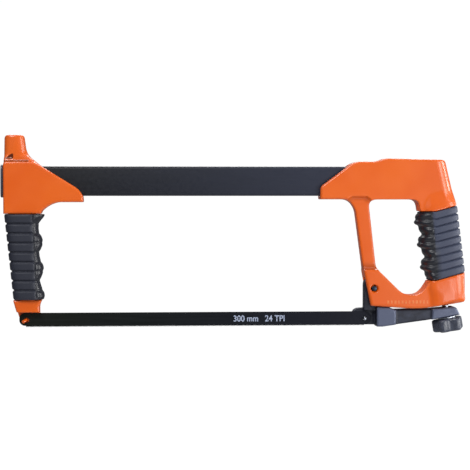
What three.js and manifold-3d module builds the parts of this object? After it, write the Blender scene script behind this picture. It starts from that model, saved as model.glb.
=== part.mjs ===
// Hacksaw with a rectangular tube frame, two die-cast handles and a screw-tensioned blade.
// Millimetres. X runs along the saw, with the front handle at -X and the D handle at +X.
// Z is up, with the blade at the bottom. The blade is put on from the -Y side.
// The origin is the middle of the rear grip, where a hand holds the saw.
import * as THREE from 'three';
import { mergeVertices } from 'three/addons/utils/BufferGeometryUtils.js';
import Module from 'manifold-3d';

const wasm = await Module();
wasm.setup();

// ---------- driving dimensions ----------
const GAP = 0.3; // between pieces that touch
const EDGE = 1.4; // rounding of a casting's edges
const CAST_WIDTH = 21;
const CAST_HALF = CAST_WIDTH / 2;

const TUBE = { height: 26, width: 12, wall: 1.5, corner: 2.2, x0: -384.8, x1: -30, z: 56.6 };
const PLUG = { flange: 2.3, over: 1.4, spigot: 12 };

const BLADE = { pitch: 300, tail: 6.3, height: 12.7, thick: 0.65, hole: 2.2, x: -365.6, z: -65.9 };
const BLADE_PIN = { radius: 1.4, reach: 3.2 };
const FRONT_PIN_LEAD = 0.6; // the pins pull on the far edges of the blade's holes
const REAR_PIN_LEAD = { x: 0.62, z: -0.18 };
const REAR_HOLE_X = BLADE.x + BLADE.pitch;
const SEAT_Y = BLADE.thick / 2 + GAP; // face that the blade lies against
const CLEAR = 20; // a cutter this far out in Y is clear of every piece

const PIVOT = { x: -57.8, z: -38.7, radius: 2.2, counterbore: 3.5, sunk: 2.4, head: 0.8 };
const SLOT_HALF = 5; // clevis slot
const ARM_HALF = 4.5; // lever arm in the slot
const STRUT_HALF = 6.4; // the strut is thinner than the casting's two ends
const HORN_HALF = 8.2;
const FOOT_HALF = 8.6;
const LEVER = { blockHalf: 9, barHalf: 6.8, edge: 1.2, tongueBack: 7, screwSlot: [10.2, 6.8] };

const SCREW = { radius: 2.9, x: 9.3, z: -64.4, tilt: THREE.MathUtils.degToRad(9.5) };
const WASHER = { radius: 8, thick: 1.2 };
const KNOB = { radius: 12.2, lobe: 2, lobes: 5, thick: 11.3 };
const INSERT = { radius: 4.3, start: 12.2, length: 12, beyond: 3 };
const STUD_TOP = 24.6;

const RIBS = 9;
const GROOVE = 1.1;

// ---------- solids ----------
function toSolid(geometry) {
  const bare = geometry.index ? geometry.toNonIndexed() : geometry.clone();
  bare.deleteAttribute('normal');
  bare.deleteAttribute('uv');
  const merged = mergeVertices(bare, 1e-4);
  return new wasm.Manifold(new wasm.Mesh({
    numProp: 3,
    vertProperties: new Float32Array(merged.attributes.position.array),
    triVerts: new Uint32Array(merged.index.array),
  }));
}

function toGeometry(solid) {
  const mesh = solid.getMesh();
  const geometry = new THREE.BufferGeometry();
  geometry.setAttribute('position', new THREE.BufferAttribute(new Float32Array(mesh.vertProperties), 3));
  geometry.setIndex(new THREE.BufferAttribute(new Uint32Array(mesh.triVerts), 1));
  return geometry;
}

// A closed outline in X and Z from corners [x, z, radius], each corner rounded off.
function outline(corners) {
  const path = new THREE.Shape();
  const at = (i) => new THREE.Vector2(...corners[(i + corners.length) % corners.length]);
  corners.forEach(([, , radius = 0], i) => {
    const corner = at(i);
    const before = at(i - 1).sub(corner);
    const after = at(i + 1).sub(corner);
    const reach = Math.min(radius, before.length() * 0.49, after.length() * 0.49);
    const start = corner.clone().addScaledVector(before.normalize(), reach);
    const end = corner.clone().addScaledVector(after.normalize(), reach);
    if (i === 0) {
      path.moveTo(start.x, start.y);
    } else {
      path.lineTo(start.x, start.y);
    }
    if (reach > 0) {
      path.quadraticCurveTo(corner.x, corner.y, end.x, end.y);
    }
  });
  path.closePath();
  return path;
}

// An outline given a width along Y, from y0 to y1, with its edges rounded.
function plate(shape, y0, y1, edge = EDGE, curveSegments = 4) {
  const geometry = new THREE.ExtrudeGeometry(shape, {
    depth: y1 - y0 - 2 * edge,
    bevelEnabled: edge > 0,
    bevelThickness: edge,
    bevelSize: edge,
    bevelOffset: -edge,
    bevelSegments: 2,
    curveSegments,
  });
  geometry.translate(0, 0, edge - y1);
  return geometry.rotateX(Math.PI / 2);
}

function box(x0, x1, y0, y1, z0, z1) {
  const geometry = new THREE.BoxGeometry(x1 - x0, y1 - y0, z1 - z0);
  return geometry.translate((x0 + x1) / 2, (y0 + y1) / 2, (z0 + z1) / 2);
}

// A cylinder along Y.
function crossPin(radius, x, z, y0, y1, sides = 20) {
  const geometry = new THREE.CylinderGeometry(radius, radius, y1 - y0, sides);
  return geometry.translate(x, (y0 + y1) / 2, z);
}

// Triangles of a strip between two rings of equal count.
function strip(index, a, b, count) {
  for (let i = 0; i < count; i += 1) {
    const j = (i + 1) % count;
    index.push(a + i, a + j, b + j, a + i, b + j, b + i);
  }
}

function ringMesh(rings, index) {
  const geometry = new THREE.BufferGeometry();
  const places = rings.flat().flatMap((p) => [p.x, p.y, p.z]);
  geometry.setAttribute('position', new THREE.BufferAttribute(new Float32Array(places), 3));
  geometry.setIndex(index);
  return geometry;
}

// Closes a ring with strips between the points that face each other across its width, so that a
// ring that is bent along X gets an end that is bent in the same way.
function ringEnd(index, start, count, up) {
  const half = count / 2;
  for (let i = 0; i < half; i += 1) {
    const [a, b, c, d] = [i, i + 1, count - i - 1, (count - i) % count].map((k) => start + k);
    const faces = [...(b === c ? [] : [a, b, c]), ...(a === d ? [] : [a, c, d])];
    index.push(...(up ? faces : faces.reverse()));
  }
}

// A solid through rings that are stacked upwards, closed at both ends.
function loft(rings) {
  const count = rings[0].length;
  const index = [];
  for (let k = 0; k + 1 < rings.length; k += 1) {
    strip(index, k * count, (k + 1) * count, count);
  }
  ringEnd(index, 0, count, false);
  ringEnd(index, (rings.length - 1) * count, count, true);
  return ringMesh(rings, index);
}

// A sleeve: outer rings stacked upwards, and inner rings stacked the same way.
function sleeve(outer, inner) {
  const count = outer[0].length;
  const index = [];
  for (let k = 0; k + 1 < outer.length; k += 1) {
    strip(index, k * count, (k + 1) * count, count);
  }
  const start = outer.length * count;
  for (let k = 0; k + 1 < inner.length; k += 1) {
    strip(index, start + (k + 1) * count, start + k * count, count);
  }
  strip(index, start, 0, count);
  strip(index, (outer.length - 1) * count, start + (inner.length - 1) * count, count);
  return ringMesh([...outer, ...inner], index);
}

// ---------- grip sections ----------
const RING_POINTS = 28;

// An egg section: a round finger side and a flat-sided palm side, that meet at the widest line.
// dir is the finger side's direction along X, and rise lifts the palm side.
function eggRing({ z, wide, finger, palm, half, dir, rise = 0 }) {
  return Array.from({ length: RING_POINTS }, (_, i) => {
    const angle = -(i / RING_POINTS) * 2 * Math.PI;
    const c = Math.cos(angle);
    const s = Math.sin(angle);
    const onFinger = c * dir > 0;
    const power = onFinger ? 0.85 : 0.5;
    const reach = onFinger ? Math.abs(finger - wide) : Math.abs(palm - wide);
    const u = Math.sign(c) * reach * Math.abs(c) ** power;
    const lift = onFinger ? 0 : Math.abs(u) * rise;
    const v = Math.sign(s) * half * Math.abs(s) ** power;
    return new THREE.Vector3(wide + u, -v, z + lift);
  });
}

function shrink(section, by) {
  const { dir } = section;
  return {
    ...section,
    finger: section.finger - by * dir,
    palm: section.palm + by * dir,
    half: section.half - by,
  };
}

// The heights of the ribs' grooves and crests, bottom to top, with how far each lies in.
function ribStations(z0, z1) {
  const pitch = (z1 - z0) / RIBS;
  const stations = [];
  for (let i = 0; i < RIBS; i += 1) {
    const base = z0 + i * pitch;
    stations.push([base, i === 0 ? 0 : GROOVE], [base + pitch * 0.2, 0], [base + pitch * 0.82, 0]);
  }
  return [...stations, [z1, 0]];
}

const CORE_BEYOND = 4; // how far a column runs on into its casting
const ROOM_BEYOND = 8; // how far the cut for a grip stands outside it
const REAR_GRIP = { z0: -31.4, z1: 29.4, wall: 4.6, endGap: 0.6 };

function rearSection(z) {
  const bump = 2.2 * Math.cos((2 * Math.PI * (z - 0.5)) / 20.2);
  return {
    z,
    wide: -3,
    finger: -15.6 - 0.14 * z - bump,
    palm: 20.8 - 0.122 * z,
    half: 13.4,
    dir: -1,
    rise: 0.27,
  };
}

function rearCore(z) {
  return shrink({ ...rearSection(z), finger: -15.8 - 0.14 * z }, REAR_GRIP.wall);
}

const FRONT_GRIP = { z0: -47.5, z1: 27.6, wall: 4.4 };

function frontSection(z) {
  const bump = 1.7 * Math.cos((2 * Math.PI * (z - 3.4)) / 23.7);
  const lip = 2.6 * THREE.MathUtils.smoothstep(z, 21, 27.6);
  return {
    z,
    wide: -363 - 0.05 * z,
    finger: -352.6 - 0.03 * z + bump + lip,
    palm: -381.7 - 0.105 * z,
    half: 12.6,
    dir: 1,
  };
}

function frontCore(z) {
  return shrink({ ...frontSection(z), finger: -353.4 - 0.03 * z }, FRONT_GRIP.wall);
}

// A grip's column and its bore are drawn through the same heights, so that their faces stay parallel.
function columnHeights({ z0, z1 }, beyond = 0) {
  const steps = 4;
  const inside = Array.from({ length: steps + 1 }, (_, i) => z0 + ((z1 - z0) * i) / steps);
  return beyond ? [z0 - beyond, ...inside, z1 + beyond] : inside;
}

function ribbedSleeve(section, core, { z0, z1 }) {
  const outer = ribStations(z0, z1).map(([z, depth]) => eggRing(shrink(section(z), depth)));
  const inner = columnHeights({ z0, z1 }).map((z) => eggRing(shrink(core(z), -GAP)));
  return sleeve(outer, inner);
}

// ---------- rear handle ----------
function rearBody() {
  const shape = outline([
    [-106.1, 40.5], [-106.1, 51.8, 3], [-76, 74.1, 6], [-55.2, 74.1, 4], [-48.6, 77, 4],
    [6.9, 75.7, 3], [15.6, 39, 3], [19.4, 8], [24.3, -50.9, 3], [-8.9, -56.2, 9], [-22.4, -57, 9],
    [-60.7, -54.2], [-66.8, -25, 3], [-74.6, 33, 8], [-81, 40.5, 7],
  ]);
  const window = outline([
    [-62.8, 40.4, 7], [-18.5, 40.4, 6], [-15.5, 20], [-6.8, -30.5, 3], [-16.4, -45, 9], [-31, -45, 9],
    [-55.8, -20.8, 4],
  ]);
  return toSolid(plate(shape, -CAST_HALF, CAST_HALF)).subtract(toSolid(plate(window, -CLEAR, CLEAR, 0)));
}

// Slabs that thin the strut down to its own width and leave the clevis block proud below it.
function strutSides() {
  const shape = outline([[-90, 36], [-78, 43], [-64, 43], [-56, 35], [-50, -22], [-90, -22]]);
  const edge = 3.4;
  return toSolid(plate(shape, STRUT_HALF, CLEAR, edge)).add(toSolid(plate(shape, -CLEAR, -STRUT_HALF, edge)));
}

// The swollen ends of the D handle, that meet the grip's section above and below it.
function rearCollars() {
  const swell = (z, half, finger, palm, wide = -3) => (
    eggRing({ z, wide, finger, palm, half, dir: -1, rise: 0.27 })
  );
  const upper = loft([
    swell(REAR_GRIP.z1 + REAR_GRIP.endGap, 13, -18.6, 17), swell(34, 12.7, -18.8, 16.2),
    swell(40, 11.6, -19.6, 14.8), swell(48, 10.3, -19, 12.4),
  ]);
  const lower = loft([
    swell(-55.2, 11.2, -10, 23.2), swell(-53.5, 12.6, -12.5, 24.4, 3), swell(-46, 13, -13, 24.6, 3),
    swell(-38, 13.1, -12, 24.5), swell(REAR_GRIP.z0 - REAR_GRIP.endGap, 13, -9.6, 24.4),
  ]);
  return toSolid(upper).add(toSolid(lower));
}

function placeOnScrew(geometry) {
  geometry.rotateX(Math.PI / 2).rotateY(-SCREW.tilt);
  return geometry.translate(SCREW.x, 0, SCREW.z);
}

// A cylinder on the screw's line, between two distances above the lever's underside.
function onScrew(radius, from, to, sides = 24) {
  const geometry = new THREE.CylinderGeometry(radius, radius, to - from, sides);
  return placeOnScrew(geometry.translate(0, (from + to) / 2, 0));
}

function tubeRoom(x0, x1) {
  const { z, height, width } = TUBE;
  return toSolid(box(x0, x1, -width / 2 - GAP, width / 2 + GAP, z - height / 2 - GAP, z + height / 2 + GAP));
}

function rearHandle() {
  const core = toSolid(loft(columnHeights(REAR_GRIP, CORE_BEYOND).map((z) => eggRing(rearCore(z)))));
  const slot = outline([[-80, -70], [-80, -28.8], [-57, -28.4, 3], [-48.2, -35.4, 4], [-46, -70]]);
  const { z0, z1, endGap } = REAR_GRIP;
  const roomRing = (z) => eggRing(shrink(rearSection(z), -ROOM_BEYOND));
  const gripRoom = loft([z0 - endGap, z1 + endGap].map(roomRing));
  let solid = rearBody().subtract(strutSides()).subtract(toSolid(gripRoom)).add(rearCollars()).add(core);
  solid = solid.subtract(tubeRoom(-120, TUBE.x1 + GAP));
  solid = solid.subtract(toSolid(plate(slot, -SLOT_HALF, SLOT_HALF, 0)));
  solid = solid.subtract(toSolid(crossPin(PIVOT.radius + GAP, PIVOT.x, PIVOT.z, -CLEAR, CLEAR)));
  const counterbore = crossPin(PIVOT.counterbore, PIVOT.x, PIVOT.z, -CLEAR, PIVOT.sunk - CAST_HALF);
  solid = solid.subtract(toSolid(counterbore));
  const insertRoom = onScrew(INSERT.radius + GAP, 0, INSERT.start + INSERT.length + INSERT.beyond);
  solid = solid.subtract(toSolid(insertRoom));
  rearScrewPlaces.forEach(([x, z]) => {
    solid = solid.subtract(screwHole(x, z));
  });
  return solid;
}

// ---------- front handle ----------
function frontHandle() {
  const body = toSolid(plate(outline([
    [-384.8, 27.9], [-384.9, 74, 3], [-358.6, 74, 5], [-319.6, 49.9, 5], [-315.3, 43.9, 3],
    [-315.1, 38.1], [-338, 38.1, 5], [-345.6, 35.1, 4], [-351.4, 30.4, 2], [-352.2, 27.9],
  ]), -CAST_HALF, CAST_HALF));
  const horn = toSolid(plate(outline([
    [-384.8, 60], [-384.1, 97, 3], [-366.8, 97, 3], [-364.6, 80, 6], [-350, 68], [-350, 60],
  ]), -HORN_HALF, HORN_HALF));
  const foot = toSolid(plate(outline([
    [-376.9, -47.8], [-351.5, -47.8], [-353.9, -52, 4], [-353.8, -64], [-358, -71.2],
    [-369, -71.2, 5], [-372.2, -64, 4],
  ]), -FOOT_HALF, FOOT_HALF));
  const core = toSolid(loft(columnHeights(FRONT_GRIP, CORE_BEYOND / 2).map((z) => eggRing(frontCore(z)))));
  const seatTop = BLADE.z + BLADE.height / 2 + 1;
  const bladeRoom = toSolid(box(-380, -345, -CLEAR, SEAT_Y, -80, seatTop));
  // the seat slopes away in front of the pin, so that the blade's tail has room when it swings out
  const tailSlope = 0.24;
  const tailRoom = box(-16, 0, -4, 0, -10, 20).rotateZ(-tailSlope);
  tailRoom.translate(BLADE.x - 1.2, SEAT_Y, BLADE.z);
  let solid = body.add(horn).add(foot).add(core);
  solid = solid.subtract(tubeRoom(-400, -300)).subtract(bladeRoom).subtract(toSolid(tailRoom));
  const pin = crossPin(BLADE_PIN.radius + GAP, BLADE.x - FRONT_PIN_LEAD, BLADE.z, -2, 7.2, 16);
  solid = solid.subtract(toSolid(pin));
  frontScrewPlaces.forEach(([x, z]) => {
    solid = solid.subtract(screwHole(x, z));
  });
  return solid;
}

// ---------- frame tube and its fixings ----------
const frontScrewPlaces = [[-376, 56.6], [-336, 50]];
const rearScrewPlaces = [[-86, 54], [-42, 56.6]];
const TUBE_SCREW = { radius: 2, head: 3.8, headHeight: 2.2, socket: 1.3 };

function screwHole(x, z) {
  return toSolid(crossPin(TUBE_SCREW.radius + GAP, x, z, 0, CLEAR, 16));
}

function roundedBar(height, width, corner) {
  const w = width / 2;
  const h = height / 2;
  return outline([[-w, -h, corner], [w, -h, corner], [w, h, corner], [-w, h, corner]]);
}

// A rounded bar section run along X.
function alongX(shape, x0, x1) {
  const settings = { depth: x1 - x0, bevelEnabled: false, curveSegments: 3 };
  const geometry = new THREE.ExtrudeGeometry(shape, settings);
  return geometry.rotateX(Math.PI / 2).rotateZ(Math.PI / 2).translate(x0, 0, TUBE.z);
}

function frameTube() {
  const { height, width, wall, corner, x0, x1 } = TUBE;
  const shape = roundedBar(height, width, corner);
  let solid = toSolid(alongX(shape, x0, x1));
  const hollow = roundedBar(height - 2 * wall, width - 2 * wall, corner - wall);
  solid = solid.subtract(toSolid(alongX(hollow, x0 - 1, x1 + 1)));
  [...frontScrewPlaces, ...rearScrewPlaces].forEach(([x, z]) => {
    solid = solid.subtract(screwHole(x, z));
  });
  return solid;
}

function tubeEndPlug() {
  const { height, width, wall } = TUBE;
  const flange = roundedBar(height + 2 * PLUG.over, width + 2 * PLUG.over, 4);
  const spigot = roundedBar(height - 2 * (wall + GAP), width - 2 * (wall + GAP), 0.8);
  const back = TUBE.x0 - GAP;
  return toSolid(alongX(flange, back - PLUG.flange, back))
    .add(toSolid(alongX(spigot, back - 0.5, back + PLUG.spigot)));
}

// A button-head screw with its socket, its shank along -Y.
function tubeScrew() {
  const { radius, head, headHeight, socket } = TUBE_SCREW;
  const length = 6;
  const profile = [
    [0, -length], [radius, -length], [radius, 0], [head, 0], [head, headHeight * 0.35],
    [head * 0.75, headHeight], [socket, headHeight], [socket, headHeight * 0.4], [0, headHeight * 0.4],
  ];
  return new THREE.LatheGeometry(profile.map(([r, y]) => new THREE.Vector2(r, y)), 18);
}

// ---------- blade and its pins ----------
function bladeBody() {
  const { x, z, pitch, tail, height, thick, hole } = BLADE;
  const x0 = x - tail;
  const x1 = x + pitch + tail;
  const h = height / 2;
  const shape = outline([[x0, z - h, 5], [x1, z - h, 5], [x1, z + h, 5], [x0, z + h, 5]]);
  [x, x + pitch].forEach((cx) => {
    shape.holes.push(new THREE.Path().absarc(cx, z, hole, 0, 2 * Math.PI, true));
  });
  return plate(shape, -thick / 2, thick / 2, 0, 12);
}

// The front peg runs straight through the casting and the blade, then leans forward and down.
function frontBladePin() {
  const x = BLADE.x - FRONT_PIN_LEAD;
  const bendY = -1;
  const leanLength = 4.6;
  const [leanDown, leanForward] = [0.3, 0.55];
  const straight = crossPin(BLADE_PIN.radius, x, BLADE.z, bendY, 6.9, 16);
  const lean = new THREE.CylinderGeometry(BLADE_PIN.radius, BLADE_PIN.radius, leanLength, 16);
  lean.translate(0, -2, 0).rotateX(leanDown).rotateZ(-leanForward).translate(x, bendY, BLADE.z);
  return toSolid(straight).add(toSolid(lean));
}

function rearBladePin() {
  const { radius, reach } = BLADE_PIN;
  const back = 6.2;
  const profile = [[0, -reach], [radius * 0.6, -reach], [radius, 0.6 - reach], [radius, back], [0, back]];
  const geometry = new THREE.LatheGeometry(profile.map(([r, y]) => new THREE.Vector2(r, y)), 16);
  return geometry.translate(REAR_HOLE_X + REAR_PIN_LEAD.x, 0, BLADE.z + REAR_PIN_LEAD.z);
}

// ---------- tension gear ----------
function tensionLever() {
  const { blockHalf, barHalf, edge, tongueBack, screwSlot: [slotLength, slotWidth] } = LEVER;
  const tongue = toSolid(plate(outline([
    [-76.6, -71.6, 6], [-76.6, -56.6, 8], [-50, -56.4, 1], [-46, -71.6],
  ]), SEAT_Y, tongueBack, 0));
  const arm = toSolid(plate(outline([
    [-66.4, -58.4], [-66.4, -30.4, 7], [-56, -30.4, 5], [-50.6, -36.6, 5], [-48.6, -58.4],
  ]), -ARM_HALF, ARM_HALF, 0));
  const block = toSolid(plate(outline([
    [-55.4, -72.9], [-55.4, -55.4], [-43.4, -55.8], [-38, -58.2], [-38, -71.2], [-49.8, -72.9],
  ]), -blockHalf, blockHalf, edge));
  const bar = toSolid(plate(outline([
    [-50, -72.7], [-50, -58], [-6, -57.2], [2, -58], [2, -65.4], [-9.8, -67.4],
  ]), -barHalf, barHalf, edge));
  const end = toSolid(plate(outline([
    [-5.8, -66.96], [-5.4, -57.3], [16.2, -55.2, 3], [19.6, -62.66],
  ]), -blockHalf, blockHalf, edge));
  const slot = new THREE.BoxGeometry(slotLength, 30, slotWidth).translate(0.9, 0, 0);
  let solid = tongue.add(arm).add(block).add(bar).add(end);
  solid = solid.subtract(toSolid(placeOnScrew(slot)));
  solid = solid.subtract(toSolid(crossPin(PIVOT.radius + GAP, PIVOT.x, PIVOT.z, -CLEAR, CLEAR)));
  const [pinX, pinZ] = [REAR_HOLE_X + REAR_PIN_LEAD.x, BLADE.z + REAR_PIN_LEAD.z];
  return solid.subtract(toSolid(crossPin(BLADE_PIN.radius + GAP, pinX, pinZ, -1, CLEAR, 16)));
}

const KNOB_TOP = -(2 * GAP + WASHER.thick);
const KNOB_FLOOR = KNOB_TOP - KNOB.thick + 2; // bottom of the blind hole for the stud

function tensionScrew() {
  return onScrew(SCREW.radius, KNOB_FLOOR + GAP, STUD_TOP);
}

function thrustWasher() {
  return toSolid(onScrew(WASHER.radius, -GAP - WASHER.thick, -GAP))
    .subtract(toSolid(onScrew(SCREW.radius + GAP, -CLEAR, CLEAR)));
}

function tensionKnob() {
  const { radius, lobe, lobes, thick } = KNOB;
  const steps = lobes * 10;
  const points = Array.from({ length: steps }, (_, i) => {
    const angle = (i / steps) * 2 * Math.PI;
    const r = radius + lobe * Math.sin(lobes * angle); // a hollow faces the viewer
    return new THREE.Vector2(r * Math.cos(angle), r * Math.sin(angle));
  });
  const edge = 1.4;
  const star = new THREE.ExtrudeGeometry(new THREE.Shape(points), {
    depth: thick - 2 * edge, bevelThickness: edge, bevelSize: edge, bevelOffset: -edge, bevelSegments: 2,
  });
  star.translate(0, 0, edge - thick).rotateX(-Math.PI / 2).translate(0, KNOB_TOP, 0);
  return toSolid(placeOnScrew(star))
    .subtract(toSolid(onScrew(SCREW.radius + GAP, KNOB_FLOOR, CLEAR)));
}

function threadedInsert() {
  const { radius, start, length } = INSERT;
  return toSolid(onScrew(radius, start, start + length))
    .subtract(toSolid(onScrew(SCREW.radius + GAP, 0, 2 * CLEAR)));
}

const CIRCLIP = { radius: 4.2, thick: 0.8 };

function pivotPin() {
  const tail = 2.2; // what stands out beyond the circlip's side of the casting
  return crossPin(PIVOT.radius, PIVOT.x, PIVOT.z, PIVOT.head - CAST_HALF, CAST_HALF + tail);
}

function pivotCirclip() {
  const y0 = CAST_HALF + GAP;
  return toSolid(crossPin(CIRCLIP.radius, PIVOT.x, PIVOT.z, y0, y0 + CIRCLIP.thick))
    .subtract(toSolid(crossPin(PIVOT.radius + GAP, PIVOT.x, PIVOT.z, 0, CLEAR)));
}

// ---------- assembly ----------
const PAINT = { color: '#e86b22', roughness: 0.35, metalness: 0 };
const RUBBER = { color: '#3c3f4e', roughness: 0.6, metalness: 0 };
const COATED_STEEL = { color: '#33353f', roughness: 0.45, metalness: 0.3 };
const DARK_PLASTIC = { color: '#26272c', roughness: 0.5, metalness: 0 };
const BLADE_STEEL = { color: '#22251f', roughness: 0.4, metalness: 0.6 };
const CAST_LEVER = { color: '#50566a', roughness: 0.4, metalness: 0.5 };
const ZINC = { color: '#b8bcc4', roughness: 0.35, metalness: 0.9 };

const hacksaw = new THREE.Group();

function addPiece(name, shape, finish) {
  const geometry = shape.isBufferGeometry ? shape : toGeometry(shape);
  geometry.computeVertexNormals();
  const mesh = new THREE.Mesh(geometry, new THREE.MeshStandardMaterial(finish));
  mesh.name = name;
  hacksaw.add(mesh);
  return mesh;
}

function addTubeScrews(prefix, places) {
  places.forEach(([x, z], i) => {
    const screw = addPiece(`${prefix}_tube_screw_${i + 1}`, tubeScrew(), ZINC);
    screw.position.set(x, CAST_HALF + GAP, z);
  });
}

addPiece('front_handle', frontHandle(), PAINT);
addPiece('front_grip', ribbedSleeve(frontSection, frontCore, FRONT_GRIP), RUBBER);
addPiece('rear_handle', rearHandle(), PAINT);
addPiece('rear_grip', ribbedSleeve(rearSection, rearCore, REAR_GRIP), RUBBER);
addPiece('frame_tube', frameTube(), COATED_STEEL);
addPiece('tube_end_plug', tubeEndPlug(), DARK_PLASTIC);
addPiece('blade', bladeBody(), BLADE_STEEL);
addPiece('front_blade_pin', frontBladePin(), PAINT);
addPiece('rear_blade_pin', rearBladePin(), ZINC);
addPiece('tension_lever', tensionLever(), CAST_LEVER);
addPiece('lever_pivot_pin', pivotPin(), ZINC);
addPiece('pivot_circlip', pivotCirclip(), ZINC);
addPiece('tension_screw', tensionScrew(), ZINC);
addPiece('thrust_washer', thrustWasher(), ZINC);
addPiece('tension_knob', tensionKnob(), DARK_PLASTIC);
addPiece('threaded_insert', threadedInsert(), ZINC);
addTubeScrews('front', frontScrewPlaces);
addTubeScrews('rear', rearScrewPlaces);

export default hacksaw;
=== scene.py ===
# %% [markdown]
# # A tension hacksaw
# A hacksaw pulls a thin blade tight between two castings. A rectangular steel tube holds the
# castings apart, and a star knob under the hand pulls on the blade through a small lever.
# The measured model is loaded first as a fixed frame, and every piece here is laid over it, in
# metres, with X along the saw, Z up, and the viewer on the -Y side.

# %% Load the frame
import math

import bmesh
import bpy
from mathutils import Matrix, Vector


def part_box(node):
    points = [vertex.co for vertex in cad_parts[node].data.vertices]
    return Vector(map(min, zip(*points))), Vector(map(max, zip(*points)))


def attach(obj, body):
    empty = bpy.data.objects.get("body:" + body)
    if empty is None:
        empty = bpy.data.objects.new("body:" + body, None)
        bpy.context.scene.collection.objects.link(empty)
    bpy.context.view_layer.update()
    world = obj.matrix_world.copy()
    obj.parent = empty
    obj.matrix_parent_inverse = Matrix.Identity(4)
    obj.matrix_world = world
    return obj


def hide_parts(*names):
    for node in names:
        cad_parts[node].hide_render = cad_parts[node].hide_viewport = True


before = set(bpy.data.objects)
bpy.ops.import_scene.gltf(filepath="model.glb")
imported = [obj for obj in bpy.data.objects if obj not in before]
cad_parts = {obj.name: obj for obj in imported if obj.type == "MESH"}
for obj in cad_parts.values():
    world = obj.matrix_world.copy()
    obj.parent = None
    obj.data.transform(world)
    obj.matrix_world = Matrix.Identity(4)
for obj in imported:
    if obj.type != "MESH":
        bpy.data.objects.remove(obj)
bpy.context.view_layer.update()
MM = 0.001

# %% [markdown]
# ## Camera and studio
# The saw is seen nearly square on, from a little to the left of its middle, so the castings show
# a sliver of the faces that look towards -X. A long lens keeps the tube and the blade parallel.
# The saw is held in the air by its grip, at working height, so the pale floor is well below it.

# %% Camera
camera_data = bpy.data.cameras.new("camera")
camera_data.lens = 112.3
camera = bpy.data.objects.new("camera", camera_data)
camera.location = (-0.2647, -1.3, 0.0457)
camera.rotation_euler = (math.radians(90 - 1.62), 0, math.radians(-3.67))
bpy.context.scene.collection.objects.link(camera)
bpy.context.scene.camera = camera
print("the camera stands", round(-camera.location.y, 2), "m in front of the saw")

# %% [markdown]
# Each node in a material or a geometry tree is made by one small function. An input is given
# either a plain value or the node that feeds it.

# %% The function that adds a node


def add(tree, kind, inputs=None, **settings):
    """Adds one node to a tree. A node given as an input is linked from its first output."""
    made = tree.nodes.new(kind)
    for name, value in settings.items():
        setattr(made, name, value)
    for name, value in (inputs or {}).items():
        if isinstance(value, bpy.types.Node):
            value = value.outputs[0]
        if isinstance(value, bpy.types.NodeSocket):
            tree.links.new(value, made.inputs[name])
        else:
            made.inputs[name].default_value = value
    return made


def linear(code):
    """An sRGB hex colour as linear red, green, blue and alpha."""
    parts = [int(code[i:i + 2], 16) / 255 for i in (1, 3, 5)]
    return [p / 12.92 if p <= 0.04045 else ((p + 0.055) / 1.055) ** 2.4 for p in parts] + [1]


print("a middle grey is", round(linear("#808080")[0], 3), "of white in linear light")

# %% [markdown]
# The backdrop is a clean white sky, but a saw that is lit by it from all round would look milky.
# So the sky that lights the saw is dim, and soft boxes do the rest. The main one stands low on the
# right: it draws the pale streaks on the edges that turn that way, and leaves the faces that look
# left in shade. A strip straight out on the right draws the streak down the front grip's finger side.

# %% Sky
SKY_SEEN, SKY_LIGHTING = 1.02, 0.14  # strengths of the sky behind the saw and of the one that lights it
world = bpy.data.worlds.new("studio")
bpy.context.scene.world = world
world.use_nodes = True
world.node_tree.nodes.clear()
sky = world.node_tree
seen = add(sky, "ShaderNodeBackground", {"Color": linear("#FFFFFF"), "Strength": SKY_SEEN})
lighting = add(sky, "ShaderNodeBackground", {"Color": linear("#F4F7FF"), "Strength": SKY_LIGHTING})
looking = add(sky, "ShaderNodeLightPath")
either = add(sky, "ShaderNodeMixShader", {0: looking, 1: lighting, 2: seen})
add(sky, "ShaderNodeOutputWorld", {"Surface": either})
bpy.context.scene.view_settings.view_transform = "Standard"
print("the sky lights the saw with", SKY_LIGHTING, "of full strength")

# %% Lamps and floor
MIDDLE = Vector((-0.18, 0, 0.01))


def softbox(name, place, width, height, watts):
    """A rectangular lamp that points at the middle of the saw."""
    lamp = bpy.data.lights.new(name, "AREA")
    lamp.shape = "RECTANGLE"
    lamp.size, lamp.size_y, lamp.energy = width, height, watts
    holder = bpy.data.objects.new(name, lamp)
    holder.location = place
    holder.rotation_euler = (MIDDLE - Vector(place)).to_track_quat("-Z", "Y").to_euler()
    bpy.context.scene.collection.objects.link(holder)


softbox("key", (0.95, -0.9, 0.2), 0.5, 0.9, 9.6)
softbox("front_left", (-0.75, -1.15, 0.95), 0.6, 0.6, 13)
softbox("side_strip", (1.15, 0.05, 0.05), 0.3, 0.9, 10)
softbox("low_card", (0.48, -1.3, -0.2), 0.3, 0.3, 2.2)
softbox("overhead", (-0.2, -0.5, 1.2), 1.3, 0.35, 3)
softbox("back", (-0.2, 0.95, 1.15), 1.2, 0.6, 18)

FLOOR_REACH, FLOOR_Z = 6, -1.3
QUARTERS = ((1, 1), (-1, 1), (-1, -1), (1, -1))  # the signs of a rectangle's corners, in turn
floor_mesh = bpy.data.meshes.new("floor")
corners = [(sx * FLOOR_REACH, sy * FLOOR_REACH, FLOOR_Z) for sx, sy in QUARTERS]
floor_mesh.from_pydata(corners, [], [(0, 1, 2, 3)])
floor = bpy.data.objects.new("floor", floor_mesh)
bpy.context.scene.collection.objects.link(floor)
print("six lamps, and the floor at", FLOOR_Z, "m")

# %% [markdown]
# ## Finishes
# Every finish is made from noise at a real size. One helper starts a material with its shader and
# gives back what the patterns need: the tree, the shader and the object's own coordinates.

# %% Start of a material


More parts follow.
